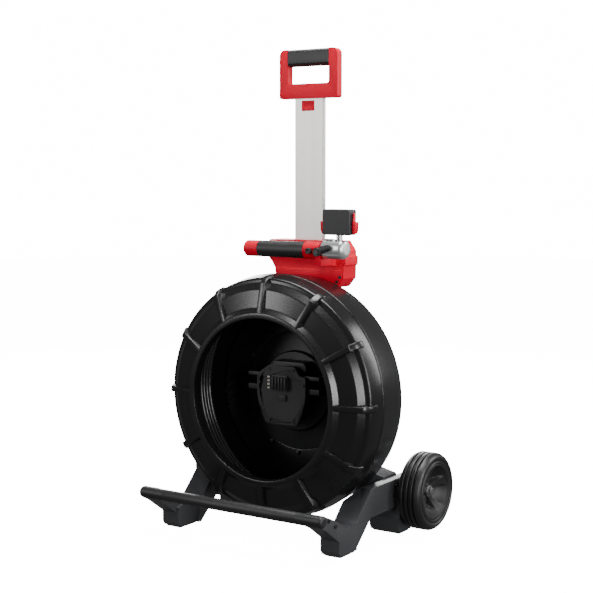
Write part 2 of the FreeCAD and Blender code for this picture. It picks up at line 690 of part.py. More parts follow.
def housing_screws():
    rear = [(-72, 622), (-98, 700), (92, 704), (104, 630)]
    items = [screw(V(x, HOUSE_Y1, z), Y, 4.5, 2, 2, 3.5) for x, z in rear]
    front = [(101, 612), (109, 624)]
    items += [screw(V(x, HOUSE_Y0 - 3, z), V(0, -1, 0), 4, 1.5, 1.8, 3) for x, z in front]
    return group(items)


def lift_rubber():
    """Rubber sleeve on the lift grip, ridged underneath."""
    sleeve = ring(LIFT_CORE_R, LIFT_R, V(LIFT_X0, LIFT_Y, LIFT_Z), X, LIFT_X1 - LIFT_X0)
    for k in range(12):
        x = LIFT_X0 + 9 + k * 11.0
        groove = box(x - 1.5, x + 1.5, LIFT_Y - 12, LIFT_Y + 12, LIFT_Z - 22, LIFT_Z - LIFT_R + 1.6)
        sleeve = sleeve.cut(groove)
    return sleeve


def lift_core():
    """Steel tube inside the lift grip, closed by the end cap and the collar."""
    return rod(LIFT_CORE_R, V(LIFT_CAP_X + 8, LIFT_Y, LIFT_Z), X, 206)


def make_housing():
    write("housing_front", housing_front())
    write("housing_rear", housing_rear())
    write("housing_screws", housing_screws())
    write("lift_grip_core", lift_core())
    write("lift_grip_rubber", lift_rubber())


# ---------------------------------------------------------------- ball mount
def ball_socket():
    """Cast socket on the end of the grip; its cup opens upward round the ball."""
    body = rod(SOCKET_R, V(SOCKET_X0, LIFT_Y, SOCKET_Z), X, SOCKET_X1 - SOCKET_X0)
    body = round_edges(body, 12, lambda e: e.BoundBox.XMin > SOCKET_X1 - 1)
    body = round_edges(body, 6, lambda e: e.BoundBox.XMax < SOCKET_X0 + 1)
    body = fuse([body, rod(16, V(COLLAR_END, LIFT_Y, SOCKET_Z - 3), X, SOCKET_X0 - COLLAR_END + 8)])
    hollow = Part.makeSphere(SEAT_R + RUN, BALL_CENTRE)
    body = body.cut(hollow).cut(socket_mouth())
    return body.cut(lever_pin())


def socket_mouth():
    return Part.makeCone(POST_R + 4, POST_R + 16, 26, BALL_CENTRE + V(0, 0, 4), Z)


def ball_seat():
    """Nylon liner between the ball and the socket, open upward."""
    shell = Part.makeSphere(SEAT_R, BALL_CENTRE).cut(Part.makeSphere(BALL_R + RUN, BALL_CENTRE))
    below = box(POST_X - 30, POST_X + 30, LIFT_Y - 30, LIFT_Y + 30, SOCKET_Z - 40, SOCKET_Z + 12)
    return shell.common(below).cut(socket_mouth())


def lever_pin():
    shank = rod(LEVER_PIN_R, V(LEVER_X, -8, LEVER_Z), Y, 26)
    return fuse([shank, rod(7, V(LEVER_X, -10.4, LEVER_Z), Y, 2.4)])


def mount_ball():
    ball = Part.makeSphere(BALL_R, BALL_CENTRE)
    post = rod(POST_R, BALL_CENTRE, Z, BOX_Z0 - BALL_CENTRE.z)
    return fuse([ball, post])


def dock_box():
    """Case of the small dock, open at its back for a cover."""
    case = rounded_box(BOX_X0, BOX_X1, BOX_Y0, BOX_Y1, BOX_Z0, BOX_Z1, 6, Y)
    case = round_edges(case, 2, lambda e: e.BoundBox.YMax < BOX_Y0 + 0.01)
    case = case.cut(box(BOX_X0 + 4, BOX_X1 - 4, BOX_Y0 + 5, BOX_Y1 + 1, BOX_Z0 + 4, BOX_Z1 - 4))
    return case.cut(box(BOX_X0 - 1, BOX_X1 + 1, STEM_Y0 - 0.5, STEM_Y1 + 0.5, STEM_Z0 - 0.5,
                        STEM_Z1 + 0.5))


def dock_cover():
    """Rear cover with two slide rails."""
    plate = box(BOX_X0 + 4, BOX_X1 - 4, BOX_Y1 - 6, BOX_Y1, BOX_Z0 + 4, BOX_Z1 - 4)
    rails = [box(x0, x0 + 9, BOX_Y1 - 1, BOX_Y1 + 5, BOX_Z0 + 8, BOX_Z1 - 8) for x0 in (113, 155)]
    return fuse([plate] + rails)


def box_latch():
    """Right side latch: a flared thumb pad that presses inwards."""
    x = BOX_X1 + 3.2
    pad = [(x, 735), (x + 4, 735), (x + 7, 743), (x + 8, 764), (x, 764)]
    low = prism_xz(pad, BOX_Y0 + 8, BOX_Y1 - 6)
    high = box(x, x + 3, BOX_Y0 + 10, BOX_Y1 - 12, 762, 785)
    stem = box(BOX_X1 - 9, x + 1, STEM_Y0, STEM_Y1, STEM_Z0, STEM_Z1)
    return fuse([low, high, stem])


def clamp_lever():
    """Lever that tightens the socket; it turns about a pin along Y."""
    hub_part = rod(11, V(LEVER_X, -8, LEVER_Z), Y, 8)
    arm = [(90, 700), (126, 711), (133, 705), (132, 698), (103, 681)]
    arm = prism_xz(arm, -7, -0.5)
    arm = round_edges(arm, 2.5, lambda e: along(e, Y))
    return fuse([hub_part, arm]).cut(rod(LEVER_PIN_R + RUN, V(LEVER_X, -12, LEVER_Z), Y, 20))


def make_mount():
    write("ball_socket", ball_socket())
    write("lever_pin", lever_pin())
    write("ball_seat", ball_seat())
    write("clamp_lever", clamp_lever())
    write("mount_ball", mount_ball())
    write("dock_box", dock_box())
    write("dock_cover", dock_cover())
    write("box_latch_right", box_latch())
    middle = V((BOX_X0 + BOX_X1) / 2, 0, 0)
    write("box_latch_left", box_latch().mirror(middle, X))
    knob = fuse([rod(8, V(KNOB_X, -8, LIFT_Z), Y, 10), rod(5, V(KNOB_X, 0, LIFT_Z), Y, 10)])
    write("lock_knob", knob)


def report_overlaps():
    """Overlaps between any two pieces, so that a clash shows when the part is built."""
    names = sorted(NODES)
    for i, a in enumerate(names):
        for b in names[i + 1:]:
            if not NODES[a].BoundBox.intersect(NODES[b].BoundBox):
                continue
            common = NODES[a].common(NODES[b])
            if common.Volume > 0.5:
                print("overlap", a, b, round(common.Volume, 1))


make_drum()
make_mast()
make_base()
make_wheels()
make_handle()
make_housing()
make_mount()
report_overlaps()
whole_box = FreeCAD.BoundBox()
for shape in NODES.values():
    whole_box.add(shape.BoundBox)
print("size", whole_box)
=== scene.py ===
# %% [markdown]
# # A reel cart for a long push cable
#
# The real thing is a moulded drum on a wheeled base, with a telescoping handle behind it.  The
# engineering model is loaded first and is never moved.  Everything after it adds what a plain
# solid can't show: rounded moulded edges, rubber grips, tyres, the wound cable and the finishes.

# %% Load the fixed frame
import json
import math

import bmesh
import bpy
from mathutils import Matrix, Vector


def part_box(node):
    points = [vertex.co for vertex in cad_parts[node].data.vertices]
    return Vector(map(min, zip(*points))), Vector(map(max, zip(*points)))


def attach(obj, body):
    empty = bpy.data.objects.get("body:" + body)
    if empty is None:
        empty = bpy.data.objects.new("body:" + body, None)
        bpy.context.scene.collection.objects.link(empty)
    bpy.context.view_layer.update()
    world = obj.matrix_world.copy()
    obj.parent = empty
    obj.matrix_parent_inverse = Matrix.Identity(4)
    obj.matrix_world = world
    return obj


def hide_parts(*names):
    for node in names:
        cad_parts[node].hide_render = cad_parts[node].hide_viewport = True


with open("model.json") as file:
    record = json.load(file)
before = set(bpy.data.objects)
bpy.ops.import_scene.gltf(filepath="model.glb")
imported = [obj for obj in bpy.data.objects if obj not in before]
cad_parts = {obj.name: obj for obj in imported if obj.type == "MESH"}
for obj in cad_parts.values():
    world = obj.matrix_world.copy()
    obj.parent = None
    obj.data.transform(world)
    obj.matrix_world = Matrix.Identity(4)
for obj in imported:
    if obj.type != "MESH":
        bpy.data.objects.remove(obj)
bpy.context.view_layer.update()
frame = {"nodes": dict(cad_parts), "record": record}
nodes = frame["nodes"]
print("pieces in the frame:", len(nodes))

# %% [markdown]
# ## Camera
#
# A camera can be placed by hand until the view looks right, or worked out from known points.  A
# long lens from about three metres keeps the tall cart free of distortion, so the camera stands
# to the right of the drum, a little above its middle, and looks slightly down.

# %% Camera
CAMERA_PLACE = Vector((1.79735, -2.64916, 0.88171))
CAMERA_TURN = math.radians(33.68)
CAMERA_DROP = math.radians(5.339)
LENS_MM = 78.72
SENSOR_MM = 36.0
SEES_TO = 30.0


def add_camera():
    data = bpy.data.cameras.new("view")
    data.sensor_width = SENSOR_MM
    data.lens = LENS_MM
    data.clip_end = SEES_TO
    camera = bpy.data.objects.new("view", data)
    camera.location = CAMERA_PLACE
    camera.rotation_euler = (math.pi / 2 - CAMERA_DROP, 0.0, CAMERA_TURN)
    bpy.context.scene.collection.objects.link(camera)
    bpy.context.scene.camera = camera
    return camera


print("camera at", tuple(round(v, 2) for v in add_camera().location))

# %% [markdown]
# ## Studio
#
# Black plastic only shows its shape through what it reflects.  One strong lamp would leave most
# of the drum dark, so the studio is a pale floor, a bright backdrop, a weak even surround and six
# soft panels: one overhead for the tops of the base, one at the right for the side of the drum,
# two at the front for the ribs and two behind for the edges.

# %% Floor, backdrop, surround and soft panels
FLOOR_HALF = 12.0
FLOOR_BASE = 0.8
FLOOR_GLOW = 15.0
BACKDROP_R = 11.0
BACKDROP_GLOW = 16.0
SURROUND_GLOW = 0.14
# Each panel: its place, the point it faces, its width and height, and its power in watts.
PANELS = {
    "overhead": ((0.1, 0.1, 2.6), (0, 0, 0.3), (1.8, 1.4), 110),
    "right_side": ((2.7, 0.1, 1.3), (0, 0, 0.4), (0.6, 2.0), 42),
    "front_left": ((-1.7, -2.6, 1.3), (0, 0, 0.4), (0.5, 1.8), 30),
    "front_right": ((2.7, -1.7, 0.7), (-0.1, 0, 0.35), (0.4, 1.5), 46),
    "rear_right": ((1.9, 2.2, 1.6), (0, 0, 0.5), (0.6, 2.0), 40),
    "rear_left": ((-1.9, 2.6, 1.2), (0, 0, 0.3), (1.8, 1.5), 85),
}


def glowing(name, base, glow):
    """A matt pale material with a little light of its own, for the floor and the backdrop."""
    material = bpy.data.materials.new(name)
    material.use_nodes = True
    shader = material.node_tree.nodes["Principled BSDF"]
    shader.inputs["Base Color"].default_value = (base, base, base, 1)
    shader.inputs["Roughness"].default_value = 0.9
    shader.inputs["Specular IOR Level"].default_value = 0.0
    shader.inputs["Emission Color"].default_value = (1, 1, 1, 1)
    shader.inputs["Emission Strength"].default_value = glow
    return material


def add_stage(name, bm, material):
    """A stage piece that the camera sees, but that throws no light back on the cart."""
    mesh = bpy.data.meshes.new(name)
    bm.to_mesh(mesh)
    bm.free()
    piece = bpy.data.objects.new(name, mesh)
    bpy.context.scene.collection.objects.link(piece)
    mesh.materials.append(material)
    piece.visible_glossy = False
    piece.visible_diffuse = False
    return piece


def add_panel(name, place, aim, size, watts):
    data = bpy.data.lights.new(name, "AREA")
    data.shape = "RECTANGLE"
    data.size = size[0]
    data.size_y = size[1]
    data.energy = watts
    panel = bpy.data.objects.new(name, data)
    panel.location = place
    panel.rotation_euler = (Vector(aim) - Vector(place)).to_track_quat("-Z", "Y").to_euler()
    panel.visible_camera = False
    bpy.context.scene.collection.objects.link(panel)
    return panel


def add_surround(strength):
    world = bpy.data.worlds.new("surround")
    world.use_nodes = True
    background = world.node_tree.nodes["Background"]
    background.inputs["Color"].default_value = (1.0, 1.0, 1.0, 1)
    background.inputs["Strength"].default_value = strength
    bpy.context.scene.world = world


floor_mesh = bmesh.new()
bmesh.ops.create_grid(floor_mesh, x_segments=1, y_segments=1, size=FLOOR_HALF)
add_stage("floor", floor_mesh, glowing("pale_floor", FLOOR_BASE, FLOOR_GLOW))
dome_mesh = bmesh.new()
bmesh.ops.create_icosphere(dome_mesh, subdivisions=4, radius=BACKDROP_R)
backdrop = add_stage("backdrop", dome_mesh, glowing("pale_backdrop", 0.0, BACKDROP_GLOW))
backdrop.visible_shadow = False
add_surround(SURROUND_GLOW)
for name, (place, aim, size, watts) in PANELS.items():
    add_panel(name, place, aim, size, watts)
print("studio: floor, backdrop and", len(PANELS), "panels")

# %% [markdown]
# ## Finishes
#
# Moulded plastic, rubber, brushed aluminium and plated steel differ in three things: colour, how
# sharp their reflections are, and the fine relief of the surface.  A painted image wrapped round
# each piece could show that, but noise made in the shader follows any shape and never repeats.
# One helper builds the shared part, and each finish gives it its own numbers.

# %% A helper for moulded and cast finishes
DRIFT_SCALE = 9.0
DRIFT_DETAIL = 5.0
GRAIN_DETAIL = 3.0
RELIEF_STRENGTH = 0.6
# The colour sockets of a mix node have no names of their own, so they go by number.
MIX_FACTOR, MIX_DARK, MIX_LIGHT, MIX_RESULT = 0, 6, 7, 2


def finish(name, dark, light, rough, grain_size, relief,
           metallic=0.0, sheen=0.5, stretch=(1, 1, 1)):
    """A material whose colour and gloss drift a little and whose relief is fine noise."""
    material = bpy.data.materials.new(name)
    material.use_nodes = True
    tree = material.node_tree
    shader = tree.nodes["Principled BSDF"]
    place = tree.nodes.new("ShaderNodeTexCoord")
    scale = tree.nodes.new("ShaderNodeMapping")
    scale.inputs["Scale"].default_value = stretch
    tree.links.new(place.outputs["Object"], scale.inputs["Vector"])
    drift = tree.nodes.new("ShaderNodeTexNoise")
    drift.inputs["Scale"].default_value = DRIFT_SCALE
    drift.inputs["Detail"].default_value = DRIFT_DETAIL
    tree.links.new(scale.outputs["Vector"], drift.inputs["Vector"])
    colour = tree.nodes.new("ShaderNodeMix")
    colour.data_type = "RGBA"
    colour.inputs[MIX_DARK].default_value = (*dark, 1)
    colour.inputs[MIX_LIGHT].default_value = (*light, 1)
    tree.links.new(drift.outputs["Fac"], colour.inputs[MIX_FACTOR])
    tree.links.new(colour.outputs[MIX_RESULT], shader.inputs["Base Color"])
    gloss = tree.nodes.new("ShaderNodeMapRange")
    gloss.inputs["To Min"].default_value = rough[0]
    gloss.inputs["To Max"].default_value = rough[1]
    tree.links.new(drift.outputs["Fac"], gloss.inputs["Value"])
    tree.links.new(gloss.outputs["Result"], shader.inputs["Roughness"])
    grain = tree.nodes.new("ShaderNodeTexNoise")
    grain.inputs["Scale"].default_value = 1.0 / grain_size
    grain.inputs["Detail"].default_value = GRAIN_DETAIL
    tree.links.new(scale.outputs["Vector"], grain.inputs["Vector"])
    bump = tree.nodes.new("ShaderNodeBump")
    bump.inputs["Distance"].default_value = relief
    bump.inputs["Strength"].default_value = RELIEF_STRENGTH
    tree.links.new(grain.outputs["Fac"], bump.inputs["Height"])
    tree.links.new(bump.outputs["Normal"], shader.inputs["Normal"])
    shader.inputs["Metallic"].default_value = metallic
    shader.inputs["Specular IOR Level"].default_value = sheen
    return material


# %% [markdown]
# ## The finishes of this cart
#
# Each finish could be its own block of code, but they differ only in numbers, so they are rows of
# one table.  A row gives the darker and lighter colour, the range of roughness, the size of the
# grain and the depth of its relief in millimetres, and whatever else that finish needs.

# %% The table of finishes
MM = 0.001
FINISH_TABLE = {
    "drum_plastic": ((0.006, 0.006, 0.0063), (0.010, 0.010, 0.0104), (0.2, 0.3), 1.2, 0.05, {}),
    "base_plastic": ((0.038, 0.039, 0.042), (0.05, 0.051, 0.055), (0.34, 0.46), 0.9, 0.06, {}),
    "red_plastic": ((0.66, 0.0, 0.02), (0.74, 0.0, 0.028), (0.36, 0.46), 1.0, 0.04,
                    {"sheen": 0.12}),
    "black_plastic": ((0.008, 0.008, 0.009), (0.016, 0.016, 0.017), (0.4, 0.55), 0.8, 0.08, {}),
    "box_plastic": ((0.026, 0.026, 0.028), (0.034, 0.034, 0.036), (0.5, 0.62), 0.6, 0.08, {}),
    "aluminium": ((0.46, 0.45, 0.435), (0.62, 0.61, 0.59), (0.28, 0.42), 0.5, 0.04,
                  {"metallic": 0.85, "stretch": (4, 1, 0.02)}),
    "cast_metal": ((0.62, 0.63, 0.64), (0.72, 0.73, 0.74), (0.26, 0.36), 2.0, 0.04,
                   {"metallic": 0.8}),
    "steel": ((0.45, 0.45, 0.46), (0.6, 0.6, 0.6), (0.22, 0.36), 0.7, 0.03, {"metallic": 1.0}),
    "black_steel": ((0.01, 0.01, 0.011), (0.02, 0.02, 0.021), (0.34, 0.5), 0.7, 0.07, {}),
    "rubber": ((0.011, 0.011, 0.011), (0.02, 0.02, 0.02), (0.4, 0.54), 0.7, 0.08, {}),
    "tyre": ((0.007, 0.007, 0.007), (0.013, 0.013, 0.013), (0.34, 0.46), 0.9, 0.06, {}),
    "cable_jacket": ((0.016, 0.016, 0.016), (0.026, 0.026, 0.026), (0.18, 0.28), 0.8, 0.03,
                     {"sheen": 0.7}),
    "contacts": ((0.5, 0.48, 0.42), (0.66, 0.63, 0.56), (0.2, 0.34), 0.5, 0.03,
                 {"metallic": 1.0}),
    "nylon": ((0.05, 0.05, 0.052), (0.07, 0.07, 0.072), (0.45, 0.6), 0.8, 0.05, {}),
}
FINISH = {}
for name, (dark, light, rough, grain_mm, relief_mm, others) in FINISH_TABLE.items():
    FINISH[name] = finish(name, dark, light, rough, grain_mm * MM, relief_mm * MM, **others)
slot_of = {part["node"]: part["material_slot"] for part in frame["record"]["subparts"]}
for name, node in nodes.items():
    node.data.materials.clear()
    node.data.materials.append(FINISH[slot_of[name]])
print("finishes:", len(FINISH))

# %% [markdown]
# ## Making round and moulded pieces
#
# Most pieces here are either turned about an axis or cut from a plate, and every moulded edge is
# rounded.  Modifiers could do both, but a short helper that makes the outline first keeps each
# piece to one call, and the rounded corners are real geometry that catches the light.

# %% Helpers for outlines and meshes
NEARLY_STRAIGHT = 170
EASE_SHARE = 0.45
WELD = 0.00002
FLAT = 1


def eased(outline, radius, steps=4):
    """The closed outline with each sharp corner drawn as a short curve."""
    points = []
    count = len(outline)
    for k in range(count):
        corner = Vector(outline[k])
        back = Vector(outline[k - 1]) - corner
        ahead = Vector(outline[(k + 1) % count]) - corner
        if back.angle(ahead) > math.radians(NEARLY_STRAIGHT):
            points.append(corner)
            continue
        reach = min(radius, back.length * EASE_SHARE, ahead.length * EASE_SHARE)
        start = corner + back.normalized() * reach
        end = corner + ahead.normalized() * reach
        for step in range(steps + 1):
            t = step / steps
            points.append(start * (1 - t) ** 2 + corner * 2 * t * (1 - t) + end * t * t)
    return points


def shade(mesh, sharp=35):
    """Smooth shading that stays crisp where two faces meet at more than the sharp angle."""
    mesh.polygons.foreach_set("use_smooth", [True] * len(mesh.polygons))
    mesh.set_sharp_from_angle(angle=math.radians(sharp))


def show(name, bm, body, material, *stands_for):
    """Closes a piece: mesh, finish, the body it rides on and the plain solid it stands for."""
    bmesh.ops.recalc_face_normals(bm, faces=bm.faces)
    mesh = bpy.data.meshes.new(name)
    bm.to_mesh(mesh)
    bm.free()
    shade(mesh)
    piece = bpy.data.objects.new(name, mesh)
    bpy.context.scene.collection.objects.link(piece)
    mesh.materials.append(FINISH[material])
    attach(piece, body)
    if stands_for:
        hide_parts(*stands_for)
    print(name, "faces", len(mesh.polygons))
    return piece


def turn(bm, outline, centre, axis="Y", steps=160):
    """Turns a closed outline of (radius, along) points about an axis through the centre.

    The outline is a list, or a function that gives the list for each angle."""
    rings = []
    for k in range(steps):
        angle = 2 * math.pi * k / steps
        ring = []
        for radius, along in (outline(angle) if callable(outline) else outline):
            side, up = radius * math.cos(angle), radius * math.sin(angle)
            spot = (side, along, up) if axis == "Y" else (along, side, up)
            ring.append(bm.verts.new(Vector(centre) + Vector(spot)))
        rings.append(ring)
    count = len(rings[0])
    for k in range(steps):
        here, there = rings[k], rings[(k + 1) % steps]
        for j in range(count):
            after = (j + 1) % count
            bm.faces.new((here[j], here[after], there[after], there[j]))


def plate(bm, outline, low, high, axis="Y"):
    """A flat piece: a closed outline drawn square to the axis, from low to high along it."""
    def spot(point, along):
        a, b = point
        return (a, along, b) if axis == "Y" else (along, a, b)
    bottom = [bm.verts.new(spot(p, low)) for p in outline]
    top = [bm.verts.new(spot(p, high)) for p in outline]
    faces = [bm.faces.new(bottom), bm.faces.new(top)]
    count = len(outline)
    for k in range(count):
        after = (k + 1) % count
        faces.append(bm.faces.new((bottom[k], bottom[after], top[after], top[k])))
    return faces


def loft(bm, rings):
    """Joins closed rings of points, each with the same count, and closes both ends."""
    drawn = [[bm.verts.new(point) for point in ring] for ring in rings]
    count = len(drawn[0])
    for here, there in zip(drawn, drawn[1:]):
        for j in range(count):
            after = (j + 1) % count
            bm.faces.new((here[j], here[after], there[after], there[j]))
    bm.faces.new(drawn[0])
    bm.faces.new(drawn[-1])


def round_sharp(bm, width, angle=30, segments=3):
    """Rounds every edge that turns by more than the angle."""
    bmesh.ops.recalc_face_normals(bm, faces=bm.faces)
    limit = math.radians(angle)
    edges = [e for e in bm.edges if len(e.link_faces) == 2 and e.calc_face_angle(0) > limit]
    bmesh.ops.bevel(bm, geom=edges, offset=width, segments=segments, profile=0.5,
                    affect="EDGES", clamp_overlap=True)


def softened(name, node, body, width, angle=30):
    """A copy of a plain solid with its edges rounded, which then stands for that solid."""
    bm = bmesh.new()
    bm.from_mesh(nodes[node].data)
    bmesh.ops.remove_doubles(bm, verts=bm.verts, dist=WELD)
    bmesh.ops.dissolve_limit(bm, angle_limit=math.radians(FLAT), verts=bm.verts, edges=bm.edges)
    round_sharp(bm, width, angle)
    return show(name, bm, body, slot_of[node], node)


# %% [markdown]
# ## The wound cable
#
# The cable lies against the drum's wall in two layers, each turn beside the last.  It is one long
# cord, so it is one curve: a helix that runs to the back and then forward again a diameter nearer
# the middle.  Both ends leave the winding at the top, one in a clamp and one in the end fitting.

# %% Cable
CABLE_D = 0.0115
LAYER_TURNS = 5.5
POINTS_PER_TURN = 24
LEAD_IN = 5
LEAD_OUT = 6
STEP_DOWN = 4
TURN_GAP = 0.0002
LEAD_RISE = 0.0015
coil_low, coil_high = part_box("push_cable")
anchor_low, anchor_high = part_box("cable_anchor")
head_low, head_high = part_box("cable_head")
drum_low, drum_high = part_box("drum_back")
AXIS_Z = (drum_low.z + drum_high.z) / 2


def winding(step, radius, y):
    """A point of the winding: steps run round from the top toward the left."""
    angle = math.pi / 2 + 2 * math.pi * step / POINTS_PER_TURN
    return Vector((radius * math.cos(angle), y, AXIS_Z + radius * math.sin(angle)))


def cable_route():
    """From the clamp, round the outer layer to the back, then the inner layer to the fitting."""
    outer = coil_high.x - CABLE_D / 2 - TURN_GAP
    inner = outer - CABLE_D - TURN_GAP
    back = coil_high.y - CABLE_D / 2
    front = coil_low.y + CABLE_D / 2
    layer = int(LAYER_TURNS * POINTS_PER_TURN)
    pitch = (back - front) / layer
    clamp_y = (anchor_low.y + anchor_high.y) / 2
    clamp_z = (anchor_low.z + anchor_high.z) / 2
    head_y = (head_low.y + head_high.y) / 2
    head_z = (head_low.z + head_high.z) / 2
    route = [Vector((anchor_high.x - 0.006, clamp_y, clamp_z)),
             Vector((anchor_low.x + 0.004, clamp_y, clamp_z + LEAD_RISE))]
    for k in range(2, layer + 1):
        lead = max(0.0, 1 - (k - 1) / LEAD_IN)
        route.append(winding(k, outer, front + pitch * k + (clamp_y - front) * lead))
    for k in range(1, layer - 1):
        radius = max(inner, outer - (outer - inner) * k / STEP_DOWN)
        lead = max(0.0, (k - (layer - 2 - LEAD_OUT)) / LEAD_OUT)
        y = (back - pitch * k) * (1 - lead) + head_y * lead
        route.append(winding(layer + k, radius, y))
    route += [Vector((head_high.x + 0.004, head_y, head_z - LEAD_RISE)),
              Vector((head_high.x - 0.008, head_y, head_z)),
              Vector((head_high.x - 0.025, head_y, head_z))]
    return route


def add_cable():
    curve = bpy.data.curves.new("push_cable_wound", "CURVE")
    curve.dimensions = "3D"
    curve.bevel_depth = CABLE_D / 2
    curve.bevel_resolution = 4
    curve.resolution_u = 3
    curve.use_fill_caps = True
    route = cable_route()
    line = curve.splines.new("NURBS")
    line.points.add(len(route) - 1)
    for point, place in zip(line.points, route):
        point.co = (*place, 1.0)
    line.order_u = 3
    line.use_endpoint_u = True
    curve.materials.append(FINISH["cable_jacket"])
    cable = bpy.data.objects.new("push_cable_wound", curve)
    bpy.context.scene.collection.objects.link(cable)
    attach(cable, "drum")
    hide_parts("push_cable")
    return cable, route


push_cable, cable_points = add_cable()

# %% [markdown]
# ## The drum
#
# The drum is two mouldings that meet at a seam.  Each is a closed section turned about the
# spindle, so its lip, its set-back panel and its wall keep an even thickness.  The ribs are
# separate bars set into the panel, one drawn and then turned round the axis.

# %% Drum shells
DRUM_FRONT_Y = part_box("drum_front")[0].y
DRUM_SEAM_Y = drum_low.y
DRUM_BACK_Y = drum_high.y
CENTRE = (0, 0, AXIS_Z)
OPENING_R = 0.198
SEAM_R = 0.301
SHELL = 0.004
SEAM_GAP = 0.0006
SHELL_STEPS = 240
RIBS = 12
RIB_TOP_HALF = 0.0064
RIB_BASE_HALF = 0.0115
BLOCK_HALF = 0.0082


def front_shell():
    """The lip round the opening, the set-back panel and the wall, then back along the inside."""
    front = DRUM_FRONT_Y
    seam = DRUM_SEAM_Y - SEAM_GAP
    section = [(OPENING_R, front), (0.211, front), (0.2225, front + 0.013),
               (0.2665, front + 0.020), (0.282, front + 0.035), (0.290, front + 0.037),
               (0.294, front + 0.040), (SEAM_R, seam), (SEAM_R - SHELL, seam),
               (0.2903, front + 0.042), (0.280, front + 0.0395), (0.267, front + 0.026),
               (0.212, front + 0.026), (0.210, front + SHELL), (OPENING_R + SHELL, front + SHELL),
               (OPENING_R + SHELL, front + 0.027), (OPENING_R, front + 0.027)]
    bm = bmesh.new()
    turn(bm, eased(section, 0.0022), CENTRE, steps=SHELL_STEPS)
    return bm


def rib_bar(bm):
    """A bar whose sides slope down to the panel, so that they catch the light."""
    front = DRUM_FRONT_Y
    ends = ((0.2105, front + 0.0008, front + 0.020), (0.2845, front + 0.0165, front + 0.036))
    rings = []
    for radius, top, base in ends:
        corners = ((-RIB_BASE_HALF, base), (-RIB_TOP_HALF, top), (RIB_TOP_HALF, top),
                   (RIB_BASE_HALF, base))
        rings.append([Vector((x, y, AXIS_Z + radius)) for x, y in corners])
    loft(bm, rings)
    round_sharp(bm, 0.0009)


def rib_block(bm):
    """The thicker block at the bar's outer end."""
    front = DRUM_FRONT_Y
    block = [(0.2795, front + 0.0165), (0.285, front + 0.0195), (0.298, front + 0.038),
             (0.301, front + 0.055), (0.297, front + 0.064), (0.281, front + 0.04)]
    plate(bm, [(y, r + AXIS_Z) for r, y in block], -BLOCK_HALF, BLOCK_HALF, axis="X")
    round_sharp(bm, 0.0018)


def add_part(bm, part):
    """Moves the faces of one mesh into another."""
    mesh = bpy.data.meshes.new("part")
    part.to_mesh(mesh)
    part.free()
    bm.from_mesh(mesh)
    bpy.data.meshes.remove(mesh)


def add_ribs(bm):
    for k in range(RIBS):
        rib = bmesh.new()
        for maker in (rib_bar, rib_block):
            part = bmesh.new()
            maker(part)
            add_part(rib, part)
        turned = Matrix.Rotation(2 * math.pi * k / RIBS, 3, "Y")
        bmesh.ops.rotate(rib, cent=CENTRE, matrix=turned, verts=rib.verts)
        add_part(bm, rib)


front_mesh = front_shell()
add_ribs(front_mesh)
show("drum_front_moulding", front_mesh, "drum", "drum_plastic", "drum_front")

# %% [markdown]
# ## The drum's rear half
#
# The rear half carries the winding and bolts to the hub.  It could be a copy of the plain solid
# with rounded edges, but its wall meets the front half at the seam, so it is turned from its own
# section and the two halves keep the same curve.

# %% Rear shell
BACK_WALL_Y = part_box("hub_bolts")[1].y
HUB_SEAT_R = 0.151


def rear_shell():
    back = DRUM_BACK_Y
    wall = BACK_WALL_Y + SHELL
    section = [(SEAM_R, DRUM_SEAM_Y), (SEAM_R + 0.0012, DRUM_SEAM_Y + 0.003),
               (0.2925, back - SHELL), (0.289, back), (0.236, back), (0.224, wall),
               (HUB_SEAT_R, wall), (HUB_SEAT_R, BACK_WALL_Y), (0.226, BACK_WALL_Y),
               (0.238, back - SHELL), (0.287, back - SHELL), (0.289, back - 2 * SHELL),
               (SEAM_R - SHELL, DRUM_SEAM_Y)]
    bm = bmesh.new()
    turn(bm, eased(section, 0.002), CENTRE, steps=SHELL_STEPS)
    return bm


show("drum_rear_moulding", rear_shell(), "drum", "drum_plastic", "drum_back")

# %% [markdown]
# ## The dock inside the drum
#
# The dock's cover is a shield with a rim and a sunk field.  It could be cut from a block, but
# matching outlines, joined one after another and each drawn in from the edge by its own inset,
# give the rim, its inner step and the flat field in one piece.

# %% Dock cover
def shield(inset):
    """Outline of the dock cover, drawn in from its edge by the inset."""
    right = [(0.040, 0.073), (0.055, 0.050), (0.0735, 0.048), (0.0735, 0.006), (0.071, -0.018),
             (0.062, -0.048), (0.046, -0.077)]
    points = [(x - inset, z - math.copysign(inset, z)) for x, z in right]
    points += [(-x, z) for x, z in reversed(points)]
    return eased(points, 0.005)


def add_dock_cover():
    low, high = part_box("dock_plate")
    profile = ((0.002, high.y), (0.0, high.y - 0.002), (0.0, low.y + 0.0015), (0.0015, low.y),
               (0.0085, low.y), (0.0095, low.y + 0.0024), (0.010, low.y + 0.0025))
    rings = []
    for inset, y in profile:
        rings.append([Vector((point[0], y, AXIS_Z + point[1])) for point in shield(inset)])
    bm = bmesh.new()
    loft(bm, rings)
    return show("dock_cover_plate", bm, "drum", "black_plastic", "dock_plate")


add_dock_cover()

# %% [markdown]
# ## Tyres
#
# A tyre has grooves round its tread and a raised band on each side wall.  The grooves could be
# cut from a plain ring, but one section turned about the axle holds them all, and its second
# half mirrors the first.

# %% Tyres
TYRE_GROOVES = 3
GROOVE_STEP = 0.013
GROOVE_DEEP = 0.0055
GROOVE_TOP = 0.0027
GROOVE_FLOOR = 0.0015
tyre_low, tyre_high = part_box("tyre_right")
WHEEL_R = (tyre_high.z - tyre_low.z) / 2
WHEEL_SPOT = (tyre_low + tyre_high) / 2
TYRE_HALF = (tyre_high.x - tyre_low.x) / 2
RIM_R = 0.069


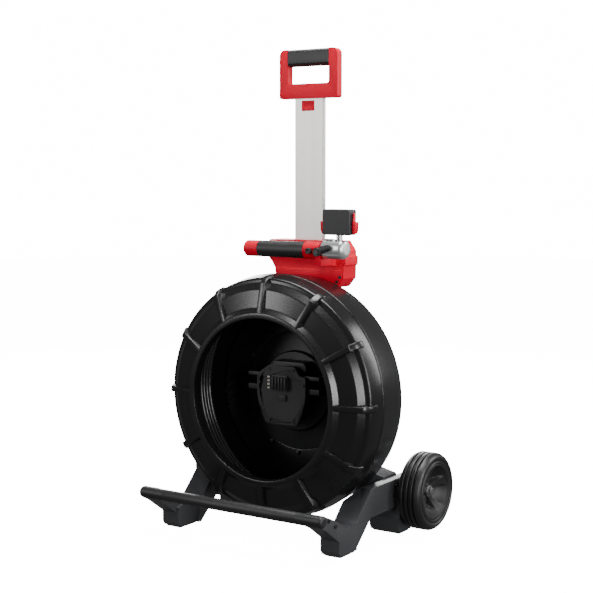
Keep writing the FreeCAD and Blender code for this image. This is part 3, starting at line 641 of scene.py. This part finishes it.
def tyre_section():
    half = TYRE_HALF
    outer = WHEEL_R
    section = [(RIM_R, -half + 0.002), (0.0735, -half + 0.001), (0.0750, -half + 0.003),
               (0.079, -half + 0.0022), (0.0805, -half + 0.0002), (0.087, -half),
               (0.092, -half + 0.004), (outer, -half + 0.012)]
    side = len(section)
    for k in range(TYRE_GROOVES):
        x = (k - (TYRE_GROOVES - 1) / 2) * GROOVE_STEP
        section += [(outer, x - GROOVE_TOP), (outer - GROOVE_DEEP, x - GROOVE_FLOOR),
                    (outer - GROOVE_DEEP, x + GROOVE_FLOOR), (outer, x + GROOVE_TOP)]
    return section + [(r, -x) for r, x in reversed(section[:side])]


def add_tyre(side, sign):
    bm = bmesh.new()
    spot = (sign * WHEEL_SPOT.x, WHEEL_SPOT.y, WHEEL_SPOT.z)
    turn(bm, eased(tyre_section(), 0.0016, 3), spot, axis="X", steps=144)
    return show("tyre_tread_" + side, bm, "wheel_" + side, "tyre", "tyre_" + side)


for side, sign in (("right", 1), ("left", -1)):
    add_tyre(side, sign)

# %% [markdown]
# ## Dished hubs
#
# The hub's front is a bowl crossed by broad spokes that rise from it.  Separate spokes laid on a
# bowl would show a hard join, so the bowl and the spokes are one surface: the section is worked
# out again for each angle, and it swells where a spoke passes.

# %% Hubs
SPOKES = 5
HUB_STEPS = 200
DISH_IN = 0.036
DISH_OUT = 0.064
DISH_FLOOR = -0.005
BORE_R = 0.011
SPOKE_HALF = 0.006
SPOKE_SPREAD = 0.13
washer_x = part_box("axle_washers")[1].x
BOSS = washer_x - 0.002 - WHEEL_SPOT.x
BOSS_R = 0.016


def dish(radius):
    """Depth of the hub's front between the boss and the rim."""
    bowl = min(1.0, max(0.0, (radius - DISH_IN) / (DISH_OUT - DISH_IN)))
    fall = min(1.0, max(0.0, (radius - BOSS_R) / 0.006))
    floor = DISH_FLOOR + (TYRE_HALF - 0.0045 - DISH_FLOOR) * bowl ** 1.6
    return max(floor, BOSS - 0.001 - (BOSS + 0.004) * fall)


def hub_section(angle):
    """The hub's outline at one angle, with the broad spokes raised over the dish."""
    rim = TYRE_HALF - 0.002
    step = 2 * math.pi / SPOKES
    off = (angle - math.pi / 2 + step / 2) % step - step / 2
    points = [(BORE_R, -rim - 0.012), (0.018, -rim - 0.012), (0.02, -0.012), (0.058, -0.012),
              (0.062, -rim), (RIM_R, -rim), (RIM_R, rim - 0.0008), (0.068, rim), (0.0655, rim)]
    for k in range(25):
        radius = 0.0645 - 0.002 * k
        half = SPOKE_HALF + SPOKE_SPREAD * (radius - BOSS_R)
        blend = min(1.0, max(0.0, (half + 0.004 - abs(radius * math.sin(off))) / 0.006))
        blend = blend * blend * (3 - 2 * blend)
        crest = BOSS - 0.003 + (rim - 0.005 - BOSS + 0.003) * ((radius - BOSS_R) / 0.047) ** 2
        low = dish(radius)
        points.append((radius, low + max(0.0, crest - low) * blend))
    return points + [(BOSS_R, BOSS - 0.001), (BOSS_R - 0.001, BOSS), (BORE_R, BOSS)]


def add_hub(side, sign):
    bm = bmesh.new()
    turn(bm, hub_section, (0, 0, 0), axis="X", steps=HUB_STEPS)
    for vert in bm.verts:
        vert.co = Vector((sign * (vert.co.x + WHEEL_SPOT.x), vert.co.y + WHEEL_SPOT.y,
                          vert.co.z + WHEEL_SPOT.z))
    return show("wheel_dish_" + side, bm, "wheel_" + side, "black_plastic", "wheel_hub_" + side)


for side, sign in (("right", 1), ("left", -1)):
    add_hub(side, sign)

# %% [markdown]
# ## Rubber grips
#
# A grip could be a plain sleeve with a bump texture, but the finger ridges show in its outline.
# So each sleeve is lofted: the same ring of points is placed along the grip, and where a groove
# runs the lower part of the ring is drawn in.

# %% Grips
RING_POINTS = 48
END_LAND = 0.008
GROOVE_OUT = 0.0026
GROOVE_IN = 0.0013


def grip_ring(x, centre, half_y, half_z, corner, groove):
    """A ring of points across the grip; a groove draws in its underside."""
    ring = []
    for k in range(RING_POINTS):
        angle = 2 * math.pi * k / RING_POINTS
        cy, cz = math.cos(angle), math.sin(angle)
        y = cy * corner + math.copysign(half_y - corner, cy) * (abs(cy) > 1e-6)
        z = cz * corner + math.copysign(half_z - corner, cz) * (abs(cz) > 1e-6)
        below = max(0.0, -cz - 0.1) / 0.9
        ring.append(Vector((x, centre.y + y, centre.z + z + groove * min(1.0, 2 * below))))
    return ring


def add_grip(name, node, body, corner, grooves, depth):
    low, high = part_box(node)
    centre = (low + high) / 2
    size = (high - low) / 2
    stations = [(low.x, 0.0015), (low.x + 0.001, 0.0)]
    step = (high.x - low.x - 2 * END_LAND) / (grooves - 1)
    for k in range(grooves):
        x = low.x + END_LAND + k * step
        stations += [(x - GROOVE_OUT, 0.0), (x - GROOVE_IN, depth), (x + GROOVE_IN, depth),
                     (x + GROOVE_OUT, 0.0)]
    stations += [(high.x - 0.001, 0.0), (high.x, 0.0015)]
    rings = []
    for x, groove in stations:
        inset = 0.001 if x in (low.x, high.x) else 0.0
        half_y, half_z = size.y - inset, size.z - inset
        rings.append(grip_ring(x, centre, half_y, half_z, min(corner, half_y),
                               groove if not inset else 0.0))
    bm = bmesh.new()
    loft(bm, rings)
    return show(name, bm, body, "rubber", node)


add_grip("handle_grip_ridged", "handle_grip", "handle", 0.010, 11, 0.0022)
add_grip("lift_grip_ridged", "lift_grip_rubber", "frame", 0.0205, 13, 0.0016)

# %% [markdown]
# ## The clamp lever
#
# The lever is a small moulded handle on a round boss.  A flat bar would read as a stub, so the
# handle is lofted: it starts narrow at the boss and swells toward its end, and the boss is turned
# with a stepped face round the screw.

# %% Lever
LEVER_HALF_THICK = 0.0036
LEVER_RING = 20


def add_lever():
    """The boss round its screw, then the handle, whose half widths are given along its length."""
    low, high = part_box("clamp_lever")
    pin_low, pin_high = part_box("lever_pin")
    pin = Vector(((pin_low.x + pin_high.x) / 2, 0, (pin_low.z + pin_high.z) / 2))
    boss = [(0.0045, low.y + 0.0022), (0.0062, low.y + 0.0022), (0.0072, low.y + 0.0004),
            (0.0098, low.y), (0.011, low.y + 0.0012), (0.011, high.y - 0.001), (0.0102, high.y),
            (0.0045, high.y)]
    bm = bmesh.new()
    turn(bm, boss, pin, steps=64)
    start = Vector((pin.x + 0.007, (low.y + high.y) / 2, pin.z + 0.004))
    end = Vector((high.x - 0.0005, (low.y + high.y) / 2, pin.z + 0.0125))
    rise = Vector((-(end - start).z, 0, (end - start).x)).normalized()
    rings = []
    for t, half in ((0.0, 0.0085), (0.15, 0.0092), (0.4, 0.0090), (0.7, 0.0082), (0.9, 0.0072),
                    (0.97, 0.0062), (1.0, 0.0045)):
        middle = start.lerp(end, t)
        ring = []
        for k in range(LEVER_RING):
            angle = 2 * math.pi * k / LEVER_RING
            ring.append(middle + rise * (half * math.cos(angle))
                        + Vector((0, min(half, LEVER_HALF_THICK) * math.sin(angle), 0)))
        rings.append(ring)
    loft(bm, rings)
    return show("clamp_lever_moulded", bm, "lever", "black_plastic", "clamp_lever")


add_lever()

# %% [markdown]
# ## The lock knob
#
# The knob is pressed by a fingertip, and its edge is notched for grip.  The notches could be cut
# one by one, but a section whose outer radius changes with the angle gives all of them at once.
# Its head is thin, so that it stays clear of the collar when it is pressed.

# %% Lock knob
KNOB_NOTCHES = 14
KNOB_WIDE = 0.0079
KNOB_NARROW = 0.0073
KNOB_STEM = 0.0048


def add_lock_knob():
    """A push knob with a gripping edge and a shallow dish in its face."""
    low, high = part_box("lock_knob")
    centre = (low + high) / 2

    def outline(angle):
        edge = KNOB_WIDE if math.cos(KNOB_NOTCHES * angle) > 0 else KNOB_NARROW
        return [(0.0, low.y + 0.0009), (0.0035, low.y + 0.0009), (0.0048, low.y), (0.0066, low.y),
                (edge, low.y + 0.0012), (edge, 0.0006), (0.0068, 0.0012), (KNOB_STEM, 0.0012),
                (KNOB_STEM, high.y), (0.0, high.y)]

    bm = bmesh.new()
    turn(bm, outline, (centre.x, 0, centre.z), steps=168)
    bmesh.ops.remove_doubles(bm, verts=bm.verts, dist=0.000001)
    return show("lock_knob_moulded", bm, "lock", "black_plastic", "lock_knob")


add_lock_knob()

# %% [markdown]
# ## Castings and covers with rounded edges
#
# The base castings, the red covers and the dock are already the right shape.  Each is copied,
# its edges are rounded, and the copy stands for the plain solid.  That keeps every hole and seat
# where the design has it.

# %% Rounded copies
# Each row: the plain solid, the body it rides on, and the width of its edge rounding in mm.
ROUNDED = (
    ("base_right", "frame", 3.0),
    ("base_left", "frame", 3.0),
    ("cross_member", "frame", 2.6),
    ("housing_front", "frame", 1.2),
    ("housing_rear", "frame", 2.0),
    ("handle_frame", "handle", 1.8),
    ("dock_bracket", "drum", 1.2),
    ("terminal_block", "drum", 0.6),
    ("dock_box", "mount_head", 1.0),
    ("dock_cover", "mount_head", 0.6),
    ("box_latch_right", "latch_right", 0.8),
    ("box_latch_left", "latch_left", 0.8),
    ("hub", "drum", 1.0),
    ("cable_anchor", "drum", 1.2),
    ("dock_latch", "dock_release", 0.6),
    ("latch_button", "handle_latch", 0.5),
    ("foot_pads", "frame", 0.8),
    ("axle_nuts", "frame", 0.7),
    ("axle_washers", "frame", 0.4),
    ("bar_sleeve", "frame", 0.5),
    ("spindle_cap", "frame", 1.2),
    ("hub_bolts", "drum", 0.5),
)
for node, body, width in ROUNDED:
    softened(node + "_eased", node, body, width * MM)
# The socket's round stem has shallow facets, so only its steeper edges are rounded.
softened("ball_socket_eased", "ball_socket", "frame", 0.3 * MM, 55)
